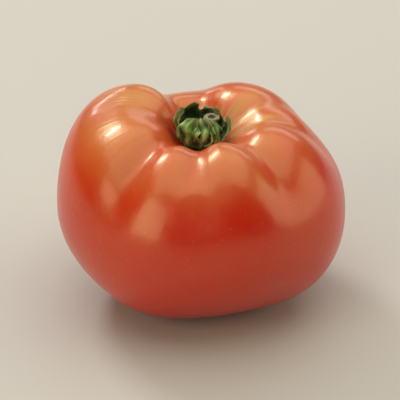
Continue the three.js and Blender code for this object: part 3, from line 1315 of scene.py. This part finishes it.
    def middle_line(self, sepal: Sepal) -> tuple[np.ndarray, np.ndarray, np.ndarray, np.ndarray]:
        """A sepal's middle line: its pitch runs from slope to curl with share^late, and its heading swings.

        Args:
            sepal: Its sizes.

        Returns:
            Points, and unit vectors along the line, across the blade, and out of its inner face.
        """
        share = np.linspace(0, 1, self.rows)
        pitch = np.radians(mix(sepal.slope, sepal.curl, share**sepal.late))
        heading = sepal.angle + sepal.swing * share**2
        along = around(np.cos(pitch), heading, np.sin(pitch))
        steps = (along[:-1] + along[1:]) / 2 * sepal.length / (self.rows - 1)
        foot = around(self.root, sepal.angle, self.bottom() + self.pad_thickness * self.root_lift)
        middle = foot + np.vstack([np.zeros(3), np.cumsum(steps, axis=0)])
        level = around(1.0, heading + 90, 0.0)
        twist = np.radians(sepal.twist * share)[:, None]
        across = level * np.cos(twist) + np.cross(along, level) * np.sin(twist)
        return middle, along, across, np.cross(along, across)

    def leaf_shades(
        self, share: np.ndarray, side: np.ndarray, face: np.ndarray, up: np.ndarray, grown: np.ndarray
    ) -> Shades:
        """A sepal's shades: painted light and shade by how high its pleats stand and which face it is, and
        how near the tip is.

        Args:
            share: Share of its length.
            side: Place across it, from -1 to 1.
            face: Place from the outer face, -1, to the inner one, 1.
            up: How far its crumples raise it.
            grown: How far the blade has unfolded from its root.

        Returns:
            The shades, rows by sides.
        """
        wave = 2 * math.pi * side
        pleated = self.pleat_light_and_shade * np.cos(wave) + self.vein_light_and_shade * np.cos(self.veins * wave)
        edge = self.edge_shade * smooth(self.edge_from, 1, np.abs(side))
        # Painted light on the pleats' ridges, painted shade in their folds and in the crumples' dents; paler
        # towards the edges.
        ridge = self.plain_shade + (pleated - self.crumple_light_and_shade * up) * grown + edge
        return {
            "ridge": ridge,
            # Which face it is, for the inner face's painted shade.
            "inside": smooth(-self.face_blend, self.face_blend, face) * np.ones_like(ridge),
            "tip": share**3 + self.tip_edge * side**2 * share,
        }

    def sepal(self, sepal: Sepal, index: int) -> Shell:
        """One sepal: a flat tube round its middle line, which follows the hollow's wall and then curls over.

        Across it, the blade is raised by a fold that grows with the distance from the middle, a pleat of one
        cosine wave, veins of several, a ripple along its edges, and its crumples.

        Args:
            sepal: Its sizes.
            index: Its number in the whorl, which shifts its ripple, notches and crumples.

        Returns:
            The sepal.
        """
        share = np.linspace(0, 1, self.rows)
        middle, along, across, inner = self.middle_line(sepal)
        turn = 2 * math.pi * np.arange(self.sides) / self.sides
        side, face = np.cos(turn), np.sin(turn)
        notched = 1 + self.notch * np.sin(self.notches * share + index) * share
        half = (self.half_width(share, sepal.half_width) * notched)[:, None]
        grown = smooth(0, self.belly_at, share)[:, None]
        up, aside = self.crumpled(share[:, None] * sepal.length, half * side, index)
        thick = (self.thickness * mix(1, self.tip_thinning, share) / 2)[:, None]
        waves = self.ripples * share + index * self.ripple_shift
        edge_wave = self.ripple * np.sin(2 * math.pi * waves)[:, None] * side**2
        folded = self.fold * half * (np.sqrt(side**2 + self.fold_rounding) - self.fold_drop)
        wave = 2 * math.pi * side
        pleats = -self.pleat * np.cos(wave) - self.vein * np.cos(self.veins * wave)
        raised = face * thick + (folded + pleats + up + edge_wave) * grown
        sideways = half * side + aside * grown
        rings = middle[:, None] + across[:, None] * sideways[..., None] + inner[:, None] * raised[..., None]
        start = middle[0] - along[0] * self.root_depth
        end = middle[-1] + along[-1] * self.tip_half_width
        return Shell(rings, start, end, self.leaf_shades(share[:, None], side, face, up, grown))

    def shells(self) -> list[Shell]:
        """The pad and all sepals."""
        return [self.pad()] + [self.sepal(sepal, index) for index, sepal in enumerate(self.sepals)]

    def build(self) -> bpy.types.Object:
        """Builds and dresses the whorl."""
        piece = put_shells("calyx_whorl", self.shells())
        return settle(piece, Node.CALYX, LeafFinish().material())


@dataclass
class StemStub:
    """The stub of stem: it narrows to a waist, and swells at the knuckle where it snapped off."""

    whorl: Whorl

    # The side, from its foot in the pad to the leaning end.
    base_radius: float = 2.3
    waist_radius: float = 1.8
    end_radius: float = 2.35
    waist_at: float = 0.55
    knuckle_at: float = 0.95
    foot: float = 0.4
    top: float = 57.8
    lean: Pair = (3.0, 0.3)
    rib: float = 0.09
    ribs: int = 7
    rib_twist: float = 3.0
    fine_rib: float = 0.5
    fine_ribs: int = 13
    fine_turn: float = 1.7

    # The snapped end. Splinters are waves round it, each a height, a number and a twist.
    edge_drop: float = 0.25
    edge_inset: float = 0.12
    end_spread: float = 1.2
    end_reach: float = 0.96
    end_crown: float = 0.12
    splinters: tuple[tuple[float, int, float], ...] = ((0.1, 5, 9.0), (0.07, 11, -14.0))
    dip: float = 0.55
    dip_range: Pair = (0.35, 0.75)

    # The shades, and the mesh.
    plain_shade: float = 0.5
    rib_shade: float = 0.3
    cut_from: float = 0.15
    pith_range: Pair = (0.3, 0.8)
    rows: int = 40
    end_rows: int = 16
    sides: int = 72

    def side_rings(self, turn: np.ndarray) -> tuple[np.ndarray, np.ndarray]:
        """The stub's side, ribbed lengthwise with cos(ribs * angle + twist) and with finer ribs on top.

        Args:
            turn: Angle of each side, in radians.

        Returns:
            Points, rows by sides by 3, and the ribs' level.
        """
        share = np.linspace(0, 1, self.rows)[:, None]
        waist = mix(self.base_radius, self.waist_radius, smooth(0, self.waist_at, share))
        radius = mix(waist, self.end_radius, smooth(self.waist_at, self.knuckle_at, share))
        fine = self.fine_rib * np.cos(self.fine_ribs * turn + self.fine_turn)
        ribs = np.cos(self.ribs * turn + self.rib_twist * share) + fine
        height = mix(self.bottom(), self.top - self.edge_drop, share)
        side = around(radius + self.rib * ribs, np.degrees(turn), height)
        side[..., :2] += np.array(self.lean) * share[..., None] ** 2
        return side, ribs

    def end_rings(self, turn: np.ndarray, inward: np.ndarray, ribs: np.ndarray) -> np.ndarray:
        """The snapped end: a rough, slightly crowned ring that dips to the pith.

        Args:
            turn: Angle of each side, in radians.
            inward: Share of the way to the middle, one a row.
            ribs: The ribs' level at the edge.

        Returns:
            Points, rows by sides by 3.
        """
        spoke = self.end_radius * (1 - inward**self.end_spread * self.end_reach) - self.edge_inset
        rough = sum(height * np.sin(count * turn + shift * inward) for height, count, shift in self.splinters)
        crown = self.end_crown * np.sin(math.pi * inward)
        height = self.top - self.dip * smooth(*self.dip_range, inward) + crown + rough * inward
        end = around(spoke + self.rib * ribs * (1 - inward), np.degrees(turn), height)
        end[..., :2] += self.lean
        return end

    def bottom(self) -> float:
        """Height at which the stub starts, inside the pad."""
        return self.whorl.bottom() + self.whorl.pad_thickness * self.foot

    def shell(self) -> Shell:
        """The whole stub, with its side first and its end after it.

        Returns:
            The stub.
        """
        turn = 2 * math.pi * np.arange(self.sides) / self.sides
        side, ribs = self.side_rings(turn)
        inward = (np.arange(self.end_rows)[:, None] + 1) / (self.end_rows + 1)
        end = self.end_rings(turn, inward, ribs[-1])
        on_side, on_end = np.zeros(side.shape[:2]), np.ones(end.shape[:2])
        shades = {
            "ridge": np.vstack([self.plain_shade + self.rib_shade * ribs, self.plain_shade * on_end]),
            "cut": np.vstack([on_side, smooth(0, self.cut_from, inward) * on_end]),
            "pith": np.vstack([on_side, smooth(*self.pith_range, inward) * on_end]),
        }
        ends = np.array([0, 0, self.bottom()]), np.array([*self.lean, self.top - self.dip])
        return Shell(np.vstack([side, end]), *ends, shades)

    def build(self) -> bpy.types.Object:
        """Builds and dresses the stub."""
        piece = put_shells("stem_stub", [self.shell()])
        return settle(piece, Node.CALYX, StemFinish().material())


@dataclass
class Down:
    """The short hairs on the calyx, each a thin three-sided spike."""

    whorl: Whorl
    stem: StemStub
    count: int = 1500
    length: Pair = (0.35, 0.8)
    radius: float = 0.03
    slant: float = 0.35
    sunk: float = 0.1
    bare_share: float = 1 / 3
    seed: int = 7

    def roots(self, shell: Shell, count: int, rng: np.random.Generator) -> tuple[np.ndarray, np.ndarray]:
        """Random places on a shell's rings, clear of its root, with the way out of the surface there.

        Args:
            shell: The shell.
            count: How many places.
            rng: Source of the draw.

        Returns:
            Points, and unit normals.
        """
        rings = shell.rings
        ring = rng.integers(int(len(rings) * self.bare_share), len(rings) - 2, size=count)
        side = rng.integers(0, rings.shape[1], size=count)
        here = rings[ring, side]
        forward = rings[ring + 1, side] - here
        sideways = rings[ring, (side + 1) % rings.shape[1]] - here
        normal = np.cross(sideways, forward)
        return here, normal / np.linalg.norm(normal, axis=1, keepdims=True)

    def build(self) -> bpy.types.Object:
        """Builds and dresses the hairs, each of three sides from a sunken base to its tip.

        Returns:
            The hairs.
        """
        rng = np.random.default_rng(self.seed)
        shells = self.whorl.shells()[1:] + [self.stem.shell()]
        places = [self.roots(shell, self.count // len(shells), rng) for shell in shells]
        root, normal = (np.vstack(group) for group in zip(*places))
        way = normal + rng.normal(scale=self.slant, size=normal.shape)
        way /= np.linalg.norm(way, axis=1, keepdims=True)
        aside = np.cross(way, rng.normal(size=way.shape))
        aside /= np.linalg.norm(aside, axis=1, keepdims=True)
        other = np.cross(way, aside)
        turn = 2 * math.pi * np.arange(3) / 3
        ring = aside[:, None] * np.cos(turn)[:, None] + other[:, None] * np.sin(turn)[:, None]
        base = (root - way * self.sunk)[:, None] + self.radius * ring
        tip = root + way * rng.uniform(*self.length, size=(len(root), 1))
        points = np.concatenate([base, tip[:, None]], axis=1)
        pattern = np.array([[0, 1, 3], [1, 2, 3], [2, 0, 3], [0, 2, 1]])
        faces = np.arange(len(points))[:, None, None] * points.shape[1] + pattern
        piece = put_mesh("calyx_hairs", points.reshape(-1, 3), [faces.reshape(-1, 3)], {})
        return settle(piece, Node.CALYX, HairFinish().material())


class LampTint(Enum):
    """The colours of the lamps' light."""

    WHITE = (1.0, 1.0, 1.0)
    SUN = (1.0, 0.97, 0.93)
    CEILING = (1.0, 0.97, 0.84)
    WINDOW = (1.0, 0.92, 0.66)


@dataclass(frozen=True)
class Lamp:
    """A softbox that shines at the object.

    Attributes:
        name: Its name.
        azimuth: Direction as the camera sees it: 0 is the camera's side, 90 the right and 180 behind.
        elevation: Angle above the floor.
        distance: Distance from the object, in metres.
        width: Width in metres.
        height: Height in metres.
        power: Power in watts.
        tint: Colour of its light.
    """

    name: str
    azimuth: float
    elevation: float
    distance: float
    width: float
    height: float
    power: float
    tint: LampTint


@dataclass
class Studio:
    """A plain pale floor, softboxes, and the camera at the photograph's angle.

    Attributes:
        elevation: The camera's angle above the floor.
        distance: Its distance, in metres.
        target: Where it looks.
        fruit_share: Share of the picture's width that the fruit fills.
        fruit_width: The fruit's width.
        sensor: Width of the camera's sensor.
        clip: Nearest and furthest distance that it sees, in metres.
        floor_size: Side of the floor, in metres.
        world: Colour of the fill light from all round.
        world_strength: Its strength.
        lamps: The softboxes.
    """

    elevation: float = 29.5
    distance: float = 1.25
    target: tuple[float, float, float] = (-0.4, 0.0, 30.5)
    fruit_share: float = 0.725
    fruit_width: float = 84.0
    sensor: float = 36.0
    clip: Pair = (0.05, 50.0)
    floor_size: float = 60.0
    world: Colour = screen(206, 196, 176)
    world_strength: float = 0.15
    lamps: tuple[Lamp, ...] = (
        Lamp("key_small", -147, 41, 1.3, 0.36, 0.06, 5.2, LampTint.SUN),
        Lamp("rim_small", -163, 9, 1.3, 0.26, 0.03, 0.42, LampTint.SUN),
        Lamp("top_soft", 180, 82, 0.9, 1.5, 1.5, 10.4, LampTint.CEILING),
        Lamp("left_window", -48, 12, 2.6, 1.66, 2.99, 41.9, LampTint.WINDOW),
        Lamp("right_window", 93, 12, 2.6, 2.34, 2.47, 29.7, LampTint.WINDOW),
        Lamp("front_strip", 2, 32, 1.0, 0.22, 1.0, 0.4, LampTint.WINDOW),
        Lamp("back_soft", 166, 22, 1.4, 0.9, 0.3, 1.6, LampTint.WHITE),
    )

    def aim(self, thing: bpy.types.Object, azimuth: float, elevation: float, distance: float) -> None:
        """Puts a lamp or camera on a sphere round the target, facing it.

        Args:
            thing: The lamp or camera.
            azimuth: Direction, 0 on the camera's side and 90 on the right, in degrees.
            elevation: Angle above the floor, in degrees.
            distance: Distance in metres.
        """
        turn, rise = math.radians(azimuth), math.radians(elevation)
        back = Vector((math.sin(turn) * math.cos(rise), -math.cos(turn) * math.cos(rise), math.sin(rise)))
        thing.location = Vector(self.target) * MM + back * distance
        thing.rotation_euler = (-back).to_track_quat("-Z", "Y").to_euler()

    def add_camera(self) -> None:
        """Makes the camera, whose lens lets the fruit fill its share of the picture's width."""
        data = bpy.data.cameras.new("camera")
        data.sensor_width = self.sensor
        data.lens = self.sensor * self.fruit_share * self.distance / (self.fruit_width * MM)
        data.clip_start, data.clip_end = self.clip
        camera = bpy.data.objects.new("camera", data)
        bpy.context.scene.collection.objects.link(camera)
        self.aim(camera, azimuth=0.0, elevation=self.elevation, distance=self.distance)
        bpy.context.scene.camera = camera

    def add_lamp(self, lamp: Lamp) -> None:
        """Makes one softbox, which the camera doesn't see directly.

        Args:
            lamp: Its sizes, place and light.
        """
        data = bpy.data.lights.new(lamp.name, "AREA")
        data.shape = "RECTANGLE"
        data.size, data.size_y = lamp.width, lamp.height
        data.energy, data.color = lamp.power, lamp.tint.value
        light = bpy.data.objects.new(lamp.name, data)
        bpy.context.scene.collection.objects.link(light)
        self.aim(light, lamp.azimuth, lamp.elevation, lamp.distance)
        light.visible_camera = False

    def add_floor(self) -> None:
        """Makes the pale floor, which isn't part of the object."""
        half = self.floor_size / 2 / MM
        corners = np.array([[-half, -half, 0], [half, -half, 0], [half, half, 0], [-half, half, 0]])
        floor = put_mesh("floor", corners, [np.array([[0, 1, 2, 3]])], {})
        floor.data.materials.append(FloorFinish().material())

    def add_world(self) -> None:
        """Makes the dim fill light that comes from all round."""
        world = bpy.data.worlds.new("studio")
        world.use_nodes = True
        background = world.node_tree.nodes["Background"]
        background.inputs["Color"].default_value = self.world
        background.inputs["Strength"].default_value = self.world_strength
        bpy.context.scene.world = world

    def build(self) -> None:
        """Builds the studio."""
        self.add_world()
        self.add_floor()
        for lamp in self.lamps:
            self.add_lamp(lamp)
        self.add_camera()


def main() -> None:
    """Builds the studio and the pieces in order, and reports each piece."""
    logging.basicConfig(level=logging.INFO, format="%(name)s: %(message)s")
    bpy.context.scene.view_settings.view_transform = "Standard"
    Studio().build()
    fruit = Fruit()
    whorl = Whorl(fruit)
    stem = StemStub(whorl)
    for sub_assembly in (fruit, whorl, stem, Down(whorl, stem)):
        piece = sub_assembly.build()
        log.info("%s is in place", piece.name)


if __name__ == "__main__":
    main()
